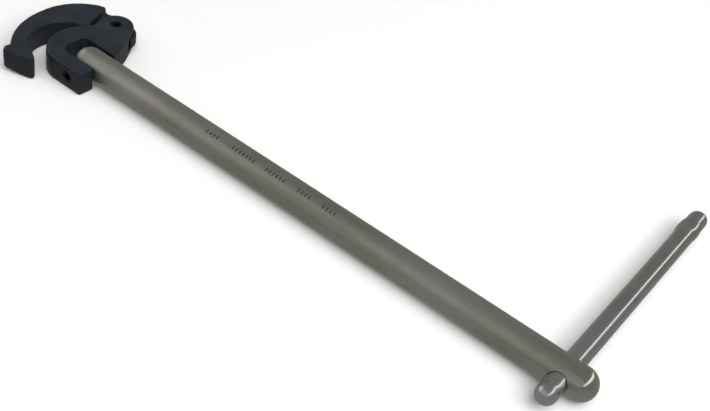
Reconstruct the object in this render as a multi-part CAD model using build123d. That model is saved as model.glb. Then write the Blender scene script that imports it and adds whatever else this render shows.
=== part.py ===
"""Basin wrench: long round shank, sliding T-bar, and a swinging head with a sprung hook jaw.

Units are millimetres.  +Z is up, off the surface that the wrench lies on.  The shank runs
along X, with the handle toward +X, and the T-bar runs along Y.  The origin is on the flat
underside of the head, on the shank's centre line, between the fork's floor and the heel.
"""

import math
import os

from build123d import *

# ---------------------------------------------------------------- driving dimensions
SHANK_R = 6.35            # 1/2 inch round bar
SHANK_FRONT_X = 9.5       # tip of the domed end inside the fork
SHANK_LENGTH = 250.5      # over both domes
SHANK_Z = SHANK_R         # the bar lies on the surface

MARK_TURN_DEG = 22.0      # stamped strokes stand this far round from the top
MARK_DEPTH = 0.2
MARK_WIDTH = 0.6
MARK_HEIGHT = 1.7
MARK_PITCH = 1.75
MARK_GROUPS = ((85.0, 4), (98.5, 7), (115.5, 6), (131.5, 4), (143.5, 4))  # first x, strokes

T_BAR_R = 4.0
T_BAR_HOLE_R = 4.1
T_BAR_FROM_TIP = 12.5     # hole's axis to the end of the shank
T_BAR_STUB_Y = -16.6      # short end of the bar
T_BAR_LONG_Y = 118.4      # long end of the bar
STAKE_FROM_END = 8.2      # near stake to the short end; it rests close to the shank
STAKE_FAR_FROM_END = 13.6
STAKE_NEAR_HALF_WIDTH = 4.2   # the bar spreads sideways where it's pinched
STAKE_FAR_HALF_WIDTH = 4.5
STAKE_FAR_OFFSET = -0.2   # the far stake is pinched a little off centre
STAKE_SHORT_HALF = 5.8    # half length of the near stake's swelling
STAKE_LONG_HALF = 11.0    # and of the far one's
STAKE_HALF_HEIGHT = 3.6
PINCH_DEPTH = 0.5
PINCH_R = 14.0            # radius of the tool that pinches it

HEAD_T = 10.6             # thickness of the forging
HEAD_EDGE_R = 0.9         # rounding of its outer edges
HOOK_EDGE_R = 0.9
TIP_R = 1.4               # rounding of the claw's tip, seen from above
CORNER_R = 1.0            # other corners, seen from above
FORK_FLOOR_X = 4.8
FORK_HALF_GAP = 6.65
FORK_NEAR_CORNER_R = 5.5
FORK_FAR_CORNER_R = 2.0
EAR_Y = -13.9             # outer face of the near ear
EAR_END_X = 24.8
FAR_EAR_END_X = 23.2

SWIVEL_X = 17.0           # head swings about this axis, parallel to the T-bar
SWIVEL_Z = HEAD_T / 2
CROSS_PIN_R = 2.5
CROSS_PIN_BORE = 1.6
CROSS_PIN_LENGTH = 24.0
CROSS_PIN_RUN_R = 2.56    # bore in the shank that turns on the pin
PIN_RECESS = 0.5          # pin ends sit just below the faces
PIN_SLIT = 1.0
PIN_CHAMFER = 0.35

PIVOT_X = 4.9             # hook jaw turns about this axis, upright
PIVOT_Y = 23.9
PIVOT_PIN_R = 2.5
PIVOT_PIN_BORE = 1.55
PIVOT_RUN_R = 2.55
LUG_R = 7.6
PLATE_T = 3.0             # each plate of the lug
TONGUE_GAP = 0.3          # play above and below the hook's tongue
CLEVIS_R = 8.6
CLEVIS_STOP_R = 11.0      # room for the stop lobe
HUB_R = 8.2
LOBE_R = 10.5
LOBE_END_DEG = -6.0
JAW_OPENING_DEG = 50.0
STOP_GAP_DEG = 2.0

TOOTH_COUNT = 7
TOOTH_PITCH = 1.4
TOOTH_DEPTH = 0.6

SPRING_WIRE_R = 0.4
SPRING_COIL_R = 4.1       # mean radius
SPRING_PITCH = 0.85
SPRING_TURNS = 1.75
SPRING_LEG = 2.4          # reaches this far above the tongue, into the lug
SPRING_TAIL = 5.4         # lies in the tongue's slot
POCKET_R = 5.0
POCKET_DEPTH = 2.6
LEG_HOLE_R = 0.6
LEG_SLOT_WIDTH = 1.2

PIVOT = (PIVOT_X, PIVOT_Y)
TONGUE_Z0 = PLATE_T + TONGUE_GAP
TONGUE_Z1 = HEAD_T - PLATE_T - TONGUE_GAP
POCKET_Z0 = TONGUE_Z1 - POCKET_DEPTH


# ---------------------------------------------------------------- helpers
def around_pivot(radius, degrees):
    """A point at this distance and direction from the hook's pivot."""
    angle = math.radians(degrees)
    return (PIVOT_X + radius * math.cos(angle), PIVOT_Y + radius * math.sin(angle))


def upright(radius, z0, z1, at=PIVOT):
    """An upright cylinder between two heights."""
    return Pos(at[0], at[1], z0) * Cylinder(radius, z1 - z0, align=(Align.CENTER, Align.CENTER, Align.MIN))


def crossways(radius, y0, y1, x, z):
    """A cylinder along Y between two stations."""
    rod = Cylinder(radius, y1 - y0, align=(Align.CENTER, Align.CENTER, Align.MIN))
    return Pos(x, y0, z) * Rot(-90, 0, 0) * rod


def plate(outline, z0, z1):
    """A flat plate between two heights, from a closed outline."""
    return Pos(0, 0, z0) * extrude(make_face(outline), z1 - z0)


def rounded_face(outline, rounding):
    """Face of a closed outline, with the corners at the given points rounded."""
    face = make_face(outline)
    for point, radius in rounding:
        corner = face.vertices().sort_by_distance(Vector(*point))[0]
        face = fillet(corner, radius)
    return face


def sector(radius, deg0, deg1):
    """Outline of a slice about the hook's pivot."""
    first = around_pivot(radius, deg0)
    middle = around_pivot(radius, (deg0 + deg1) / 2)
    last = around_pivot(radius, deg1)
    return Curve() + [Line(PIVOT, first), ThreePointArc(first, middle, last), Line(last, PIVOT)]


def flat_edges(solid):
    """The edges of the forging's underside and top."""
    return [e for e in solid.edges() if is_level(e, 0) or is_level(e, HEAD_T)]


def is_level(edge, z):
    """True if the whole edge lies at this height."""
    box = edge.bounding_box()
    return abs(box.min.Z - z) < 1e-4 and abs(box.max.Z - z) < 1e-4


def spring_pin(radius, bore, length):
    """A rolled spring pin, standing on the XY plane, slit along one side."""
    base = (Align.CENTER, Align.CENTER, Align.MIN)
    body = Cylinder(radius, length, align=base)
    rims = body.edges().filter_by(GeomType.CIRCLE)
    body = chamfer(rims, PIN_CHAMFER)
    hollow = Cylinder(bore, length, align=base)
    slit = Box(radius + 1, PIN_SLIT, length, align=(Align.MIN, Align.CENTER, Align.MIN))
    return body - hollow - slit


# ---------------------------------------------------------------- handle
def stamped_stroke(x):
    """Cutter of one plain stroke across the top of the bar's near side."""
    depth_at = SHANK_R - MARK_DEPTH
    cutter = Box(MARK_WIDTH, MARK_HEIGHT, 1, align=(Align.CENTER, Align.CENTER, Align.MIN))
    return Pos(x, 0, SHANK_Z) * Rot(MARK_TURN_DEG, 0, 0) * Pos(0, 0, depth_at) * cutter


def stamped_marks():
    """Plain strokes in groups where such a bar is stamped; they spell nothing."""
    strokes = []
    for first_x, count in MARK_GROUPS:
        for i in range(count):
            strokes.append(stamped_stroke(first_x + i * MARK_PITCH))
    return strokes


def make_shank():
    """Round bar with domed ends, cross-drilled for the head pin and for the T-bar."""
    front = SHANK_FRONT_X + SHANK_R
    back = SHANK_FRONT_X + SHANK_LENGTH - SHANK_R
    bar = Cylinder(SHANK_R, back - front, align=(Align.CENTER, Align.CENTER, Align.MIN))
    solid = Pos(front, 0, SHANK_Z) * Rot(0, 90, 0) * bar
    solid += Pos(front, 0, SHANK_Z) * Sphere(SHANK_R)
    solid += Pos(back, 0, SHANK_Z) * Sphere(SHANK_R)
    solid -= crossways(CROSS_PIN_RUN_R, -2 * SHANK_R, 2 * SHANK_R, SWIVEL_X, SWIVEL_Z)
    hole_x = SHANK_FRONT_X + SHANK_LENGTH - T_BAR_FROM_TIP
    solid -= crossways(T_BAR_HOLE_R, -2 * SHANK_R, 2 * SHANK_R, hole_x, SHANK_Z)
    return solid - stamped_marks()


def stake(x, y, half_width, half_length):
    """The bulge where the T-bar is pinched so that it can't pass its hole."""
    swell = scale(Sphere(1), by=(half_width, half_length, STAKE_HALF_HEIGHT))
    return Pos(x, y, SHANK_Z) * swell


def pinch(y, x, side):
    """Dent left on the top (side 1) or bottom (side -1) of the bar by the pinching tool."""
    depth_z = SHANK_Z + side * (T_BAR_R - PINCH_DEPTH + PINCH_R)
    return Pos(x, y, depth_z) * Rot(0, 90, 0) * Cylinder(PINCH_R, 4 * T_BAR_R)


def make_t_bar():
    """Sliding cross handle with ball ends, staked near each end."""
    x = SHANK_FRONT_X + SHANK_LENGTH - T_BAR_FROM_TIP
    y0 = T_BAR_STUB_Y + T_BAR_R
    y1 = T_BAR_LONG_Y - T_BAR_R
    solid = crossways(T_BAR_R, y0, y1, x, SHANK_Z)
    for y in (y0, y1):
        solid += Pos(x, y, SHANK_Z) * Sphere(T_BAR_R)
    near_y = T_BAR_STUB_Y + STAKE_FROM_END
    far_y = T_BAR_LONG_Y - STAKE_FAR_FROM_END
    solid += stake(x, near_y, STAKE_NEAR_HALF_WIDTH, STAKE_SHORT_HALF)
    solid += stake(x + STAKE_FAR_OFFSET, far_y, STAKE_FAR_HALF_WIDTH, STAKE_LONG_HALF)
    for y in (near_y, far_y):
        for side in (1, -1):
            solid -= pinch(y, x, side)
    return solid


# ---------------------------------------------------------------- head
def head_outline():
    """Heel, fork and lug seen from above, with the fork's mouth still closed."""
    far_end = (FAR_EAR_END_X, FORK_HALF_GAP)
    lug_right = around_pivot(LUG_R, 37)
    lug_left = around_pivot(LUG_R, 205)
    notch = (-0.6, 15.9)
    heel_top = (-3.5, 10.8)
    heel_low = (-1.0, -8.9)
    ear_start = (8.5, EAR_Y)
    ear_corner = (EAR_END_X, EAR_Y)
    ear_inner = (EAR_END_X, -FORK_HALF_GAP)
    return Curve() + [
        ThreePointArc(far_end, (17.7, 18.0), lug_right),
        ThreePointArc(lug_right, around_pivot(LUG_R, 120), lug_left),
        ThreePointArc(lug_left, (-0.9, 18.0), notch),
        Line(notch, heel_top),
        ThreePointArc(heel_top, (-5.3, 1.4), heel_low),
        ThreePointArc(heel_low, (3.2, -12.4), ear_start),
        Line(ear_start, ear_corner),
        Line(ear_corner, ear_inner),
        Line(ear_inner, far_end),
    ]


def fork_gap():
    """The slot for the shank, open toward the handle."""
    length = 2 * EAR_END_X
    gap = Box(length, 2 * FORK_HALF_GAP, 3 * HEAD_T, align=(Align.MIN, Align.CENTER, Align.CENTER))
    for y, radius in ((-FORK_HALF_GAP, FORK_NEAR_CORNER_R), (FORK_HALF_GAP, FORK_FAR_CORNER_R)):
        corner = gap.edges().filter_by(Axis.Z).sort_by_distance(Vector(0, y, 0))[0]
        gap = fillet(corner, radius)
    return Pos(FORK_FLOOR_X, 0, 0) * gap


def clevis_gap():
    """Room for the hook's tongue between the lug's plates, and for its stop lobe to swing."""
    z0 = PLATE_T
    z1 = HEAD_T - PLATE_T
    stop_deg = LOBE_END_DEG - JAW_OPENING_DEG - STOP_GAP_DEG
    gap = upright(CLEVIS_R, z0, z1)
    gap += plate(sector(CLEVIS_STOP_R, stop_deg, 60), z0, z1)
    gap += plate(sector(2 * CLEVIS_R, 150, 234), z0, z1)
    return gap


def make_head_body():
    """Forged head: fork for the shank, rounded heel as fixed jaw, and the hook's clevis lug."""
    solid = extrude(rounded_face(head_outline(), [((EAR_END_X, EAR_Y), CORNER_R)]), HEAD_T)
    solid = fillet(flat_edges(solid), HEAD_EDGE_R)
    solid -= fork_gap()
    solid -= clevis_gap()
    solid -= upright(PIVOT_PIN_R, -1, HEAD_T + 1)
    hole_end = EAR_Y + PIN_RECESS + CROSS_PIN_LENGTH + PIN_RECESS
    solid -= crossways(CROSS_PIN_R, 2 * EAR_Y, hole_end, SWIVEL_X, SWIVEL_Z)
    leg_x, leg_y = around_pivot(SPRING_COIL_R, SPRING_TURNS * 360)
    solid -= upright(LEG_HOLE_R, TONGUE_Z1, TONGUE_Z1 + SPRING_LEG + 0.2, (leg_x, leg_y))
    return solid


# ---------------------------------------------------------------- hook jaw
CLAW_INNER = (6.6, -20.5)
CLAW_OUTER = (-7.7, -25.7)
CLAW_STEP = (-9.8, -23.1)
ARM_LOW = (-9.3, -20.6)
SHOULDER_LOW = (-1.9, 14.75)
SHOULDER_HIGH = (-8.2, 30.4)
GRIP_BACK = (-7.9, -12.7)


def hook_outline():
    """The hook seen from above: claw, arm, shoulder and the tongue's outer side."""
    hub_top = around_pivot(HUB_R, 90)
    hub_low = around_pivot(HUB_R, 225)
    throat = (-7.4, 10.6)
    flank_low = (-3.95, 11.1)
    flank_high = (-1.75, 15.0)
    waist = (-22.2, 6.0)
    brow = (-9.6, 29.7)
    return Curve() + [
        Line(CLAW_INNER, CLAW_OUTER),
        Line(CLAW_OUTER, CLAW_STEP),
        Line(CLAW_STEP, ARM_LOW),
        ThreePointArc(ARM_LOW, (-18.2, -9.8), waist),
        ThreePointArc(waist, (-18.9, 20.9), brow),
        ThreePointArc(brow, (-2.6, 31.8), hub_top),
        ThreePointArc(hub_top, around_pivot(HUB_R, 0), hub_low),
        Line(hub_low, flank_high),
        Line(flank_high, flank_low),
        Line(flank_low, throat),
        ThreePointArc(throat, (-12.4, -0.8), GRIP_BACK),
        Line(GRIP_BACK, CLAW_INNER),
    ]


def stop_lobe():
    """Tail on the tongue that meets the lug when the hook is fully open."""
    root = around_pivot(HUB_R, 62)
    tip = around_pivot(LOBE_R, LOBE_END_DEG)
    outline = Curve() + [
        Line(PIVOT, root),
        ThreePointArc(root, around_pivot(9.2, 28), tip),
        Line(tip, PIVOT),
    ]
    return plate(outline, TONGUE_Z0, TONGUE_Z1)


def tooth_grooves():
    """V grooves across the claw's gripping face."""
    dx = CLAW_INNER[0] - GRIP_BACK[0]
    dy = CLAW_INNER[1] - GRIP_BACK[1]
    length = math.hypot(dx, dy)
    direction = math.degrees(math.atan2(dy, dx))
    side = TOOTH_DEPTH * math.sqrt(2)
    first = 1.5 * TOOTH_PITCH
    grooves = []
    for i in range(TOOTH_COUNT):
        along = (first + i * TOOTH_PITCH) / length
        x = GRIP_BACK[0] + dx * along
        y = GRIP_BACK[1] + dy * along
        grooves.append(Pos(x, y, HEAD_T / 2) * Rot(0, 0, direction + 45) * Box(side, side, 2 * HEAD_T))
    return grooves


def beyond_shoulder():
    """Everything on the lug's side of the hook's straight shoulder."""
    dx = SHOULDER_HIGH[0] - SHOULDER_LOW[0]
    dy = SHOULDER_HIGH[1] - SHOULDER_LOW[1]
    turn = math.degrees(math.atan2(dy, dx)) - 90
    block = Box(4 * HUB_R, 8 * HUB_R, 4 * HEAD_T, align=(Align.MIN, Align.CENTER, Align.CENTER))
    return Pos(*SHOULDER_LOW) * Rot(0, 0, turn) * block


def on_shoulder(edge):
    """True for the edges of the straight shoulder, which stay sharp."""
    middle = edge @ 0.5
    dx = SHOULDER_HIGH[0] - SHOULDER_LOW[0]
    dy = SHOULDER_HIGH[1] - SHOULDER_LOW[1]
    length = math.hypot(dx, dy)
    off = ((middle.X - SHOULDER_LOW[0]) * dy - (middle.Y - SHOULDER_LOW[1]) * dx) / length
    along = ((middle.X - SHOULDER_LOW[0]) * dx + (middle.Y - SHOULDER_LOW[1]) * dy) / length
    return abs(off) < CORNER_R / 2 and 0 < along < length


def make_arm():
    """The hook at full thickness: claw, arm and shoulder, with its outer edges rounded."""
    rounding = [(CLAW_INNER, TIP_R), (CLAW_OUTER, CORNER_R), (CLAW_STEP, CORNER_R)]
    solid = extrude(rounded_face(hook_outline(), rounding), HEAD_T)
    solid -= beyond_shoulder()
    return fillet([e for e in flat_edges(solid) if not on_shoulder(e)], HOOK_EDGE_R)


def make_tongue():
    """Thin part of the hook around its pivot, between the lug's plates."""
    solid = plate(hook_outline(), TONGUE_Z0, TONGUE_Z1)
    solid &= beyond_shoulder()
    solid += stop_lobe()
    solid -= upright(PIVOT_RUN_R, -1, HEAD_T + 1)
    solid -= upright(POCKET_R, POCKET_Z0, HEAD_T)
    slot = Box(LEG_SLOT_WIDTH, SPRING_TAIL + 0.3, POCKET_DEPTH, align=(Align.CENTER, Align.MAX, Align.MIN))
    return solid - Pos(PIVOT_X + SPRING_COIL_R, PIVOT_Y, POCKET_Z0) * slot


def make_hook_jaw():
    """Curved hook with a toothed claw; its tongue carries the spring and turns on the pin."""
    solid = make_arm() + make_tongue()
    for groove in tooth_grooves():
        solid -= groove
    return solid


# ---------------------------------------------------------------- pins and spring
def make_cross_pin():
    """Spring pin of the head's swivel, pressed in both ears."""
    pin = spring_pin(CROSS_PIN_R, CROSS_PIN_BORE, CROSS_PIN_LENGTH)
    return Pos(SWIVEL_X, EAR_Y + PIN_RECESS, SWIVEL_Z) * Rot(-90, 0, 0) * pin


def make_pivot_pin():
    """Spring pin of the hook, pressed in both plates of the lug."""
    pin = spring_pin(PIVOT_PIN_R, PIVOT_PIN_BORE, HEAD_T - 2 * PIN_RECESS)
    return Pos(PIVOT_X, PIVOT_Y, PIN_RECESS) * Rot(0, 0, 90) * pin


def make_jaw_spring():
    """Torsion spring around the pivot pin: one leg in the tongue, the other up in the lug."""
    z0 = POCKET_Z0 + SPRING_WIRE_R + 0.1
    z1 = z0 + SPRING_PITCH * SPRING_TURNS
    coil = Pos(PIVOT_X, PIVOT_Y, z0) * Helix(SPRING_PITCH, z1 - z0, SPRING_COIL_R)
    wire = sweep(Plane(coil @ 0, z_dir=coil % 0) * Circle(SPRING_WIRE_R), path=coil)
    start_x, start_y = around_pivot(SPRING_COIL_R, 0)
    wire += crossways(SPRING_WIRE_R, start_y - SPRING_TAIL, start_y, start_x, z0)
    wire += Pos(start_x, start_y, z0) * Sphere(SPRING_WIRE_R)
    end_x, end_y = around_pivot(SPRING_COIL_R, SPRING_TURNS * 360)
    wire += upright(SPRING_WIRE_R, z1, TONGUE_Z1 + SPRING_LEG, (end_x, end_y))
    wire += Pos(end_x, end_y, z1) * Sphere(SPRING_WIRE_R)
    return wire


NODES = {
    "shank": make_shank,
    "t_bar": make_t_bar,
    "head_body": make_head_body,
    "hook_jaw": make_hook_jaw,
    "cross_pin": make_cross_pin,
    "pivot_pin": make_pivot_pin,
    "jaw_spring": make_jaw_spring,
}


def main():
    os.makedirs("parts", exist_ok=True)
    for name, make in NODES.items():
        export_step(make(), f"parts/{name}.step")


main()
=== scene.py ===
"""Basin wrench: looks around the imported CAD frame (metres, Blender 4.5)."""
import math

import bmesh
import bpy
import numpy as np
from mathutils import Matrix, Vector, noise


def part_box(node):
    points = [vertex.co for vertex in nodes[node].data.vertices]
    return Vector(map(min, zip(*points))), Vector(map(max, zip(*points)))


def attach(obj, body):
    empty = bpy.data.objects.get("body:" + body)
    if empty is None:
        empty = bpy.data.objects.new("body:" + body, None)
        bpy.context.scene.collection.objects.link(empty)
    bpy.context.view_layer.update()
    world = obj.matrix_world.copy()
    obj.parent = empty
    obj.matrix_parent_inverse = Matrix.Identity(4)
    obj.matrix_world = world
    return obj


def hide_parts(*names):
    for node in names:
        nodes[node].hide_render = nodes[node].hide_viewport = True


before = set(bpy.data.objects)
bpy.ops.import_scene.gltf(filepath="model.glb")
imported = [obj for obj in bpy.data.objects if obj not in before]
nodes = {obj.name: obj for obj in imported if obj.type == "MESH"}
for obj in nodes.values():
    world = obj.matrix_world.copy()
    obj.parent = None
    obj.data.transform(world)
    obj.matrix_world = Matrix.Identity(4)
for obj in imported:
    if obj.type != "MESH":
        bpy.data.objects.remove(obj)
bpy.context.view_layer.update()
MM = 0.001

PIVOT = (4.9, 23.9)          # the hook's axis seen from above, in mm
TEETH_FROM = (-7.9, -12.7)   # the claw's gripping face, in mm
TEETH_TO = (6.6, -20.5)
BROW = (-8.2, 30.4)          # outer corner of the hook's shoulder, in mm
HEAD_T = 10.6                # thickness of head and hook, in mm
SHANK_R = 6.35 * MM

SKIN_VOXEL = 0.25 * MM
HEAD_ROUNDS = 18             # smoothing passes over the whole forging
HOOK_ROUNDS = 12
CLAW_ROUNDS = 70             # and over the parts that are rounded most
WAVES_PER_M = 260
WAVE_DEPTH = 0.03 * MM
CLAW_RISE = 1.5 * MM

BALL_RINGS = 16
RING_PITCH = 0.5 * MM
ROUND_SIDES = 96
PINCH_DEPTH = 0.5 * MM
PINCH_R = 14 * MM
NEAR_STAKE_FROM_END = 8.2 * MM
NEAR_STAKE_HALF_LENGTH = 5.8 * MM
NEAR_STAKE_HALF_WIDTH = 4.2 * MM
FAR_STAKE_FROM_END = 13.6 * MM
FAR_STAKE_HALF_LENGTH = 11.0 * MM
FAR_STAKE_HALF_WIDTH = 4.5 * MM
FAR_STAKE_OFFSET = -0.2 * MM

# ---------------------------------------------------------------- camera
CAMERA_AT = (0.29744, -0.25015, 0.25875)
CAMERA_TARGET = (0.14741, 0.01333, 0.00635)
CAMERA_ROLL_DEG = 12.68
CAMERA_LENS = 52.87


def make_camera():
    """The camera looks at the middle of the shank, rolled about its own line of sight."""
    data = bpy.data.cameras.new("camera")
    data.lens = CAMERA_LENS
    data.sensor_width = 36
    data.clip_start = 0.01
    data.clip_end = 20
    camera = bpy.data.objects.new("camera", data)
    back = (Vector(CAMERA_AT) - Vector(CAMERA_TARGET)).normalized()
    level_side = Vector((0, 0, 1)).cross(back).normalized()
    level_turn = Matrix((level_side, back.cross(level_side), back)).transposed().to_4x4()
    roll = Matrix.Rotation(math.radians(CAMERA_ROLL_DEG), 4, "Z")
    camera.matrix_world = Matrix.Translation(CAMERA_AT) @ level_turn @ roll
    bpy.context.scene.collection.objects.link(camera)
    bpy.context.scene.camera = camera


# ---------------------------------------------------------------- node helpers
class Tree:
    """Short hand for building one material's node tree."""

    def __init__(self, name):
        self.material = bpy.data.materials.new(name)
        self.material.use_nodes = True
        self.nodes = self.material.node_tree.nodes
        self.links = self.material.node_tree.links
        self.shader = self.nodes["Principled BSDF"]
        self.place = self.add("ShaderNodeTexCoord").outputs["Object"]

    def add(self, kind, **settings):
        node = self.nodes.new(kind)
        for key, value in settings.items():
            setattr(node, key, value)
        return node

    def feed(self, socket, value):
        if hasattr(value, "is_output"):
            self.links.new(value, socket)
        else:
            socket.default_value = value

    def noise(self, scale, detail=3.0, rough=0.55, stretch=(1, 1, 1), seed=0.0):
        """Noise at this many features per metre, stretched along the given axes."""
        mapping = self.add("ShaderNodeMapping")
        self.feed(mapping.inputs["Vector"], self.place)
        mapping.inputs["Scale"].default_value = stretch
        mapping.inputs["Location"].default_value = (seed, 0.37 * seed, 1.7 * seed)
        node = self.add("ShaderNodeTexNoise")
        self.feed(node.inputs["Vector"], mapping.outputs["Vector"])
        node.inputs["Scale"].default_value = scale
        node.inputs["Detail"].default_value = detail
        node.inputs["Roughness"].default_value = rough
        return node.outputs["Fac"]

    def ramp(self, value, *stops):
        """Colour ramp with (position, colour or grey level) stops."""
        node = self.add("ShaderNodeValToRGB")
        self.feed(node.inputs["Fac"], value)
        elements = node.color_ramp.elements
        while len(elements) < len(stops):
            elements.new(0.5)
        for element, (position, colour) in zip(elements, stops):
            element.position = position
            if not hasattr(colour, "__len__"):
                colour = (colour,) * 3
            element.color = (*colour, 1)
        return node.outputs["Color"]

    def mix(self, factor, a, b, blend="MIX"):
        node = self.add("ShaderNodeMix", data_type="RGBA", blend_type=blend)
        self.feed(node.inputs["Factor"], factor)
        for socket, value in ((node.inputs[6], a), (node.inputs[7], b)):
            if isinstance(value, tuple):
                value = (*value, 1)
            self.feed(socket, value)
        return node.outputs[2]

    def math(self, operation, a, b=0.0, clamp=False):
        node = self.add("ShaderNodeMath", operation=operation, use_clamp=clamp)
        self.feed(node.inputs[0], a)
        self.feed(node.inputs[1], b)
        return node.outputs[0]

    def span(self, value, low, high, to_low=0.0, to_high=1.0):
        """Map one range smoothly on another."""
        node = self.add("ShaderNodeMapRange", interpolation_type="SMOOTHSTEP")
        self.feed(node.inputs["Value"], value)
        for key, number in (("From Min", low), ("From Max", high), ("To Min", to_low), ("To Max", to_high)):
            node.inputs[key].default_value = number
        return node.outputs["Result"]

    def axis(self, name):
        node = self.add("ShaderNodeSeparateXYZ")
        self.feed(node.inputs["Vector"], self.place)
        return node.outputs[name]

    def bump(self, height, distance, strength=1.0, over=None):
        node = self.add("ShaderNodeBump")
        node.inputs["Strength"].default_value = strength
        node.inputs["Distance"].default_value = distance
        self.feed(node.inputs["Height"], height)
        if over is not None:
            self.feed(node.inputs["Normal"], over)
        return node.outputs["Normal"]


# ---------------------------------------------------------------- materials
def forging_material():
    """Black oxide over a shot-blasted forging, thin and brighter on the worn edges."""
    t = Tree("black_forging")
    patches = t.noise(90, detail=4, seed=3)
    grain = t.noise(2600, detail=3, rough=0.6, seed=5)
    colour = t.ramp(patches, (0.32, (0.009, 0.012, 0.017)), (0.52, (0.013, 0.017, 0.024)),
                    (0.72, (0.019, 0.022, 0.033)))
    edge = t.add("ShaderNodeNewGeometry").outputs["Pointiness"]
    worn = t.math("MULTIPLY", t.span(edge, 0.53, 0.60), t.span(patches, 0.35, 0.6, 0.35, 1.0))
    colour = t.mix(worn, colour, (0.085, 0.088, 0.092))
    t.feed(t.shader.inputs["Base Color"], colour)
    t.feed(t.shader.inputs["Metallic"], t.span(worn, 0, 1, 0.1, 0.6))
    rough = t.ramp(t.noise(400, detail=4, seed=9), (0.3, 0.40), (0.7, 0.56))
    t.feed(t.shader.inputs["Roughness"], rough)
    fine = t.bump(grain, 0.00006, 0.5)
    t.feed(t.shader.inputs["Normal"], t.bump(t.noise(320, detail=2, seed=1), 0.0002, 0.5, over=fine))
    return t.material


def nickel_material():
    """Satin nickel plate with polishing lines and tarnish; painted shade darkens the strokes pressed into the
    shank.
    """
    t = Tree("satin_nickel")
    lines = t.noise(2400, detail=3, rough=0.6, stretch=(0.02, 1, 1), seed=2)
    cloud = t.noise(38, detail=4, stretch=(0.5, 1, 1), seed=4)
    colour = t.ramp(cloud, (0.34, (0.43, 0.42, 0.355)), (0.50, (0.49, 0.48, 0.43)),
                    (0.66, (0.515, 0.505, 0.495)))
    streaks = t.noise(420, detail=4, rough=0.6, stretch=(0.06, 1, 1), seed=14)
    colour = t.mix(t.span(streaks, 0.50, 0.72, 0, 0.45), colour, (0.30, 0.29, 0.26))
    colour = t.mix(t.span(lines, 0.62, 0.80, 0, 0.35), colour, (0.26, 0.25, 0.22))
    y = t.axis("Y")
    z = t.math("SUBTRACT", t.axis("Z"), SHANK_R)
    depth = t.math("SQRT", t.math("ADD", t.math("MULTIPLY", y, y), t.math("MULTIPLY", z, z)))
    past_pin = t.span(t.axis("X"), 0.03, 0.035)
    before_bar = t.span(t.axis("X"), 0.2, 0.205, 1, 0)
    # Painted shade: the floors of the strokes pressed into the shank are darkened toward near black, standing
    # in for the shade inside them.
    painted_groove_shade = t.span(depth, SHANK_R - 0.10 * MM, SHANK_R - 0.03 * MM, 0.6, 0)
    painted_stroke_shade = t.math("MULTIPLY", painted_groove_shade, t.math("MULTIPLY", past_pin, before_bar))
    t.feed(t.shader.inputs["Base Color"], t.mix(painted_stroke_shade, colour, (0.03, 0.028, 0.024)))
    t.shader.inputs["Metallic"].default_value = 1.0
    rough = t.ramp(t.noise(220, detail=5, stretch=(0.2, 1, 1), seed=6), (0.3, 0.40), (0.7, 0.52))
    polished = t.span(t.axis("X"), 0.244, 0.257)
    t.feed(t.shader.inputs["Roughness"], t.mix(polished, rough, (0.17, 0.17, 0.17)))
    t.feed(t.shader.inputs["Normal"], t.bump(lines, 0.00003, 0.5))
    return t.material


def chrome_material():
    """Bright chrome with faint polishing lines and slightly hazier patches."""
    t = Tree("chrome_bar")
    lines = t.noise(1800, detail=2, stretch=(1, 0.03, 1), seed=8)
    cloud = t.noise(60, detail=4, stretch=(1, 0.5, 1), seed=11)
    t.feed(t.shader.inputs["Base Color"], t.ramp(cloud, (0.3, (0.42, 0.41, 0.40)), (0.7, (0.55, 0.55, 0.55))))
    t.shader.inputs["Metallic"].default_value = 1.0
    t.feed(t.shader.inputs["Roughness"], t.ramp(cloud, (0.35, 0.19), (0.7, 0.26)))
    t.feed(t.shader.inputs["Normal"], t.bump(lines, 0.000004, 0.3))
    return t.material


def pin_material():
    """Dark tempered steel of the spring pins."""
    t = Tree("dark_pin_steel")
    cloud = t.noise(700, detail=4, seed=21)
    colour = t.ramp(cloud, (0.3, (0.012, 0.013, 0.015)), (0.7, (0.03, 0.03, 0.032)))
    t.feed(t.shader.inputs["Base Color"], colour)
    t.shader.inputs["Metallic"].default_value = 0.8
    t.feed(t.shader.inputs["Roughness"], t.ramp(cloud, (0.3, 0.35), (0.7, 0.5)))
    t.feed(t.shader.inputs["Normal"], t.bump(t.noise(4000, seed=22), 0.00002, 0.5))
    return t.material


def spring_material():
    """Oiled spring wire."""
    t = Tree("spring_wire")
    cloud = t.noise(900, detail=3, seed=31)
    t.feed(t.shader.inputs["Base Color"], t.ramp(cloud, (0.3, (0.16, 0.155, 0.15)), (0.7, (0.3, 0.29, 0.28))))
    t.shader.inputs["Metallic"].default_value = 1.0
    t.feed(t.shader.inputs["Roughness"], t.ramp(cloud, (0.3, 0.25), (0.7, 0.4)))
    t.feed(t.shader.inputs["Normal"], t.bump(t.noise(3500, seed=32), 0.00002, 0.4))
    return t.material


def floor_material():
    """Plain pale matt floor."""
    t = Tree("floor")
    t.feed(t.shader.inputs["Base Color"], t.ramp(t.noise(6, detail=2, seed=40), (0.3, 0.90), (0.7, 0.92)))
    t.shader.inputs["Roughness"].default_value = 0.8
    t.shader.inputs["Specular IOR Level"].default_value = 0.2
    return t.material


def give(obj, material):
    obj.data.materials.clear()
    obj.data.materials.append(material)


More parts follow.
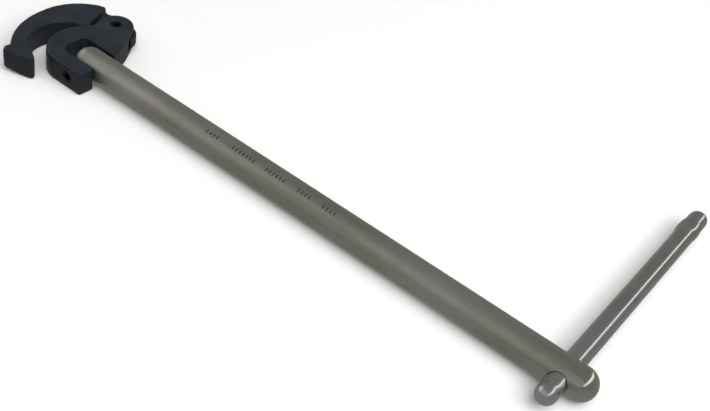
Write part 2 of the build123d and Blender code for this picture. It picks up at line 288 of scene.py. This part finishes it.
# ---------------------------------------------------------------- refined pieces
def softened(name, node, rounds, extra, extra_rounds, keep, rise):
    """The CAD node as one fine skin with soft edges and the slight waviness of a forging.

    extra(place) gives how much a point takes part in the second, stronger softening, and
    keep(place) how much of the first it is spared.  rise(co) is how far a point is lifted.
    """
    obj = bpy.data.objects.new(name, nodes[node].data.copy())
    bpy.context.scene.collection.objects.link(obj)
    remesh = obj.modifiers.new("skin", "REMESH")
    remesh.mode = "VOXEL"
    remesh.voxel_size = SKIN_VOXEL
    obj.data = applied(obj)
    count = len(obj.data.vertices)
    place = np.empty(count * 3)
    obj.data.vertices.foreach_get("co", place)
    place = place.reshape(-1, 3)
    weights = (("all_round", 1.0 - keep(place), rounds), ("extra", extra(place), extra_rounds))
    for group_name, weight, iterations in weights:
        group = obj.vertex_groups.new(name=group_name)
        for index in range(count):
            group.add([index], float(weight[index]), "REPLACE")
        smooth = obj.modifiers.new(group_name, "SMOOTH")
        smooth.factor = 0.5
        smooth.iterations = iterations
        smooth.vertex_group = group_name
    obj.data = applied(obj)
    obj.vertex_groups.clear()
    skin = obj.data
    for vertex in skin.vertices:
        vertex.co.z += rise(vertex.co)
    for polygon in skin.polygons:
        polygon.use_smooth = True
    count = len(skin.vertices)
    place = np.empty(count * 3)
    normal = np.empty(count * 3)
    skin.vertices.foreach_get("co", place)
    skin.vertex_normals.foreach_get("vector", normal)
    place = place.reshape(-1, 3)
    normal = normal.reshape(-1, 3)
    wave = np.array([noise.noise(Vector(p) * WAVES_PER_M) for p in place])
    place += normal * (WAVE_DEPTH * (wave - 1.0))[:, None]
    skin.vertices.foreach_set("co", place.ravel())
    skin.update()
    return obj


def applied(obj):
    """The object's mesh with its modifiers applied; they are then removed."""
    graph = bpy.context.evaluated_depsgraph_get()
    mesh = bpy.data.meshes.new_from_object(obj.evaluated_get(graph))
    obj.modifiers.clear()
    return mesh


def ramped(value, low, high):
    """0 below low, 1 above high, smooth between."""
    t = np.clip((value - low) / (high - low), 0, 1)
    return t * t * (3 - 2 * t)


def hook_extra(place):
    """The claw's lower half and the shoulder's outer corner, where the forging is rounded most."""
    x, y, z = place.T / MM
    claw = ramped(-y, 15.5, 18.5) * ramped(-z, -6.5, -4.0) * (1 - near_teeth(place))
    brow = ramped(-np.hypot(x - BROW[0], y - BROW[1]), -4.0, -1.5)
    return np.maximum(claw, brow)


def near_teeth(place):
    """The claw's gripping face keeps its teeth."""
    x, y = place.T[:2] / MM
    run = np.array(TEETH_TO) - np.array(TEETH_FROM)
    run /= np.linalg.norm(run)
    off = (x - TEETH_FROM[0]) * run[1] - (y - TEETH_FROM[1]) * run[0]
    along = (x - TEETH_FROM[0]) * run[0] + (y - TEETH_FROM[1]) * run[1]
    return ramped(-np.abs(off), -1.6, -0.9) * ramped(along, 0.5, 1.5) * ramped(-along, -13.0, -11.5)


def hook_keep(place):
    """Teeth and tongue stay crisp."""
    x, y = place.T[:2] / MM
    tongue = ramped(-np.hypot(x - PIVOT[0], y - PIVOT[1]), -11.0, -9.5)
    return np.maximum(near_teeth(place), tongue)


def head_keep(place):
    """The clevis between the lug's plates stays crisp."""
    x, y, z = place.T / MM
    reach = ramped(-np.hypot(x - PIVOT[0], y - PIVOT[1]), -12.5, -11.0)
    return reach * ramped(z, 1.0, 1.8) * ramped(-z, -9.6, -8.8)


def nowhere(place):
    """No second softening."""
    return np.zeros(len(place))


def level(co):
    """No lift."""
    return 0.0


def claw_rise(co):
    """The forging's underside slopes up toward the claw's outer corner."""
    x, y, z = co / MM
    near = float(ramped(-y, 14.0, 20.0) * ramped(-x, -3.0, 9.0))
    return CLAW_RISE * near * max(1 - z / HEAD_T, 0.0)


def make_t_bar(node):
    """Sliding bar as one lathe-like skin: ball ends, and a pinched swelling near each end."""
    low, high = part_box(node)
    z = (low.z + high.z) / 2
    radius = (high.z - low.z) / 2
    x = high.x - FAR_STAKE_HALF_WIDTH - FAR_STAKE_OFFSET
    near_y = low.y + NEAR_STAKE_FROM_END
    far_y = high.y - FAR_STAKE_FROM_END
    stakes = (
        (near_y, NEAR_STAKE_HALF_LENGTH, NEAR_STAKE_HALF_WIDTH, 0.0),
        (far_y, FAR_STAKE_HALF_LENGTH, FAR_STAKE_HALF_WIDTH, FAR_STAKE_OFFSET),
    )
    turns = np.linspace(0, math.pi / 2, BALL_RINGS)
    ball = radius * (1 - np.cos(turns))
    middle = np.arange(low.y + radius, high.y - radius, RING_PITCH)
    stations = np.concatenate([low.y + ball, middle[1:], (high.y - ball)[::-1]])
    verts = []
    for y in stations:
        inset = max(low.y + radius - y, y - high.y + radius, 0.0)
        reach = math.sqrt(max(radius ** 2 - inset ** 2, 0.0))
        left = right = tall = reach
        for centre, half_length, half_width, offset in stakes:
            bulge = half_width * math.sqrt(max(1 - ((y - centre) / half_length) ** 2, 0.0))
            left = max(left, bulge - offset)
            right = max(right, bulge + offset)
            dent = radius - PINCH_DEPTH + (y - centre) ** 2 / (2 * PINCH_R)
            tall = min(tall, dent)
        for k in range(ROUND_SIDES):
            angle = 2 * math.pi * k / ROUND_SIDES
            side = math.sin(angle)
            wide = right if side > 0 else left
            verts.append((x + wide * side, y, z + tall * math.cos(angle)))
    faces = []
    rings = len(stations)
    for i in range(rings - 1):
        for k in range(ROUND_SIDES):
            k2 = (k + 1) % ROUND_SIDES
            a, b = i * ROUND_SIDES, (i + 1) * ROUND_SIDES
            faces.append((a + k, a + k2, b + k2, b + k))
    mesh = bpy.data.meshes.new("t_bar_skin")
    mesh.from_pydata(verts, [], faces)
    bm = bmesh.new()
    bm.from_mesh(mesh)
    bmesh.ops.remove_doubles(bm, verts=bm.verts, dist=1e-7)
    bmesh.ops.recalc_face_normals(bm, faces=bm.faces)
    for face in bm.faces:
        face.smooth = True
    bm.to_mesh(mesh)
    bm.free()
    obj = bpy.data.objects.new("t_bar_skin", mesh)
    bpy.context.scene.collection.objects.link(obj)
    soft = obj.modifiers.new("soft", "SMOOTH")
    soft.factor = 0.5
    soft.iterations = 3
    return obj


# ---------------------------------------------------------------- studio
def area_light(name, at, towards, size, power, long_axis=(0, 0, 1), seen=True):
    """A soft light; its first size lies along long_axis, turned square to the light's aim."""
    data = bpy.data.lights.new(name, "AREA")
    data.shape = "RECTANGLE"
    data.size, data.size_y = size
    data.energy = power
    back = (Vector(at) - Vector(towards)).normalized()
    side = Vector(long_axis)
    side = (side - back * side.dot(back)).normalized()
    turn = Matrix((side, back.cross(side), back)).transposed().to_4x4()
    light = bpy.data.objects.new(name, data)
    light.matrix_world = Matrix.Translation(at) @ turn
    light.visible_glossy = seen
    bpy.context.scene.collection.objects.link(light)


FLOOR_RIM = 3.0
HORIZON_BLUR = 0.3           # height over which the world changes, above and below the horizon
WORLD_BELOW = 0.30
WORLD_ABOVE = 0.25
MIDDLE = (0.12, 0.02, 0.0)
BAR_MIDDLE = (0.2475, 0.05, 0.006)


def make_floor():
    """Pale floor, hidden from reflections and bounced light so that it doesn't brighten the metal."""
    mesh = bpy.data.meshes.new("floor")
    rim = FLOOR_RIM
    mesh.from_pydata([(-rim, -rim, 0), (rim, -rim, 0), (rim, rim, 0), (-rim, rim, 0)], [], [(0, 1, 2, 3)])
    floor = bpy.data.objects.new("floor", mesh)
    bpy.context.scene.collection.objects.link(floor)
    give(floor, floor_material())
    floor.visible_glossy = False
    floor.visible_diffuse = False


def make_world():
    """Even pale surroundings, a little brighter below the horizon."""
    world = bpy.data.worlds.new("studio")
    world.use_nodes = True
    tree = world.node_tree
    direction = tree.nodes.new("ShaderNodeTexCoord").outputs["Generated"]
    split = tree.nodes.new("ShaderNodeSeparateXYZ")
    tree.links.new(direction, split.inputs["Vector"])
    height = tree.nodes.new("ShaderNodeMapRange")
    height.interpolation_type = "SMOOTHSTEP"
    height.inputs["From Min"].default_value = -HORIZON_BLUR
    height.inputs["From Max"].default_value = HORIZON_BLUR
    height.inputs["To Min"].default_value = WORLD_BELOW
    height.inputs["To Max"].default_value = WORLD_ABOVE
    tree.links.new(split.outputs["Z"], height.inputs["Value"])
    background = tree.nodes["Background"]
    background.inputs["Color"].default_value = (1.0, 1.0, 0.95, 1)
    tree.links.new(height.outputs["Result"], background.inputs["Strength"])
    bpy.context.scene.world = world


def make_lights():
    """Three soft boxes around the tool and a long strip for the T-bar's highlight."""
    area_light("key", (0.95, -0.20, 1.45), MIDDLE, (2.2, 2.2), 38, seen=False)
    area_light("left", (-1.5, -0.3, 0.8), MIDDLE, (1.6, 1.2), 3.6, long_axis=(0, 1, 0))
    area_light("front", (-0.1, -1.3, 1.2), MIDDLE, (2.4, 1.6), 2.2, long_axis=(1, 0, 0))
    area_light("strip", (0.76, 0.25, 0.57), BAR_MIDDLE, (2.6, 0.14), 2.0, long_axis=(0, 1, 0))
    bpy.context.scene.view_settings.view_transform = "Standard"
    bpy.context.scene.view_settings.look = "None"


make_camera()
make_floor()
make_world()
make_lights()

forging = forging_material()
pin_steel = pin_material()
give(nodes["shank"], nickel_material())
give(nodes["cross_pin"], pin_steel)
give(nodes["pivot_pin"], pin_steel)
give(nodes["jaw_spring"], spring_material())

head_skin = softened("head_skin", "head_body", HEAD_ROUNDS, nowhere, 0, head_keep, level)
hook_skin = softened("hook_skin", "hook_jaw", HOOK_ROUNDS, hook_extra, CLAW_ROUNDS, hook_keep, claw_rise)
for skin, node, body in ((head_skin, "head_body", "head"), (hook_skin, "hook_jaw", "hook")):
    give(skin, forging)
    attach(skin, body)
    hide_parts(node)

t_bar = make_t_bar("t_bar")
give(t_bar, chrome_material())
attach(t_bar, "t_bar")
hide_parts("t_bar")
